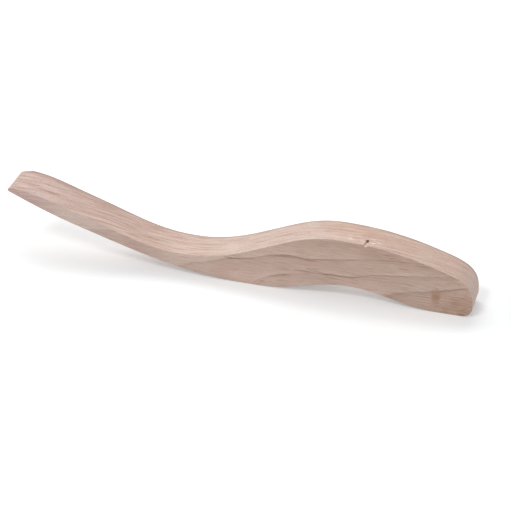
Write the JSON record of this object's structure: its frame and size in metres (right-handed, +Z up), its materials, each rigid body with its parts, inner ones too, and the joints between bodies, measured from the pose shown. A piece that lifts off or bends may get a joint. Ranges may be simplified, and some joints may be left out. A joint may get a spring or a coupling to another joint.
{
  "type": "transfer board",
  "caption": "S-curved solid beech transfer board: a slender arm dips and rises into a broad rounded head; flat faces, stands on its lower edge.",
  "frame": {"origin": "middle of the bar's length and thickness, on the surface that its lower edge stands on", "axes": "+X from the arm's tip to the nose, +Y from the front face to the back face, +Z up"},
  "size_m": [0.6, 0.054, 0.087],
  "materials": {
    "beech": "raw beech, sanded, unoiled",
    "plug": "matte brown plug, sanded flush"
  },
  "bodies": {
    "root": {"board": "beech", "knot_plug": "plug"}
  },
  "joints": []
}
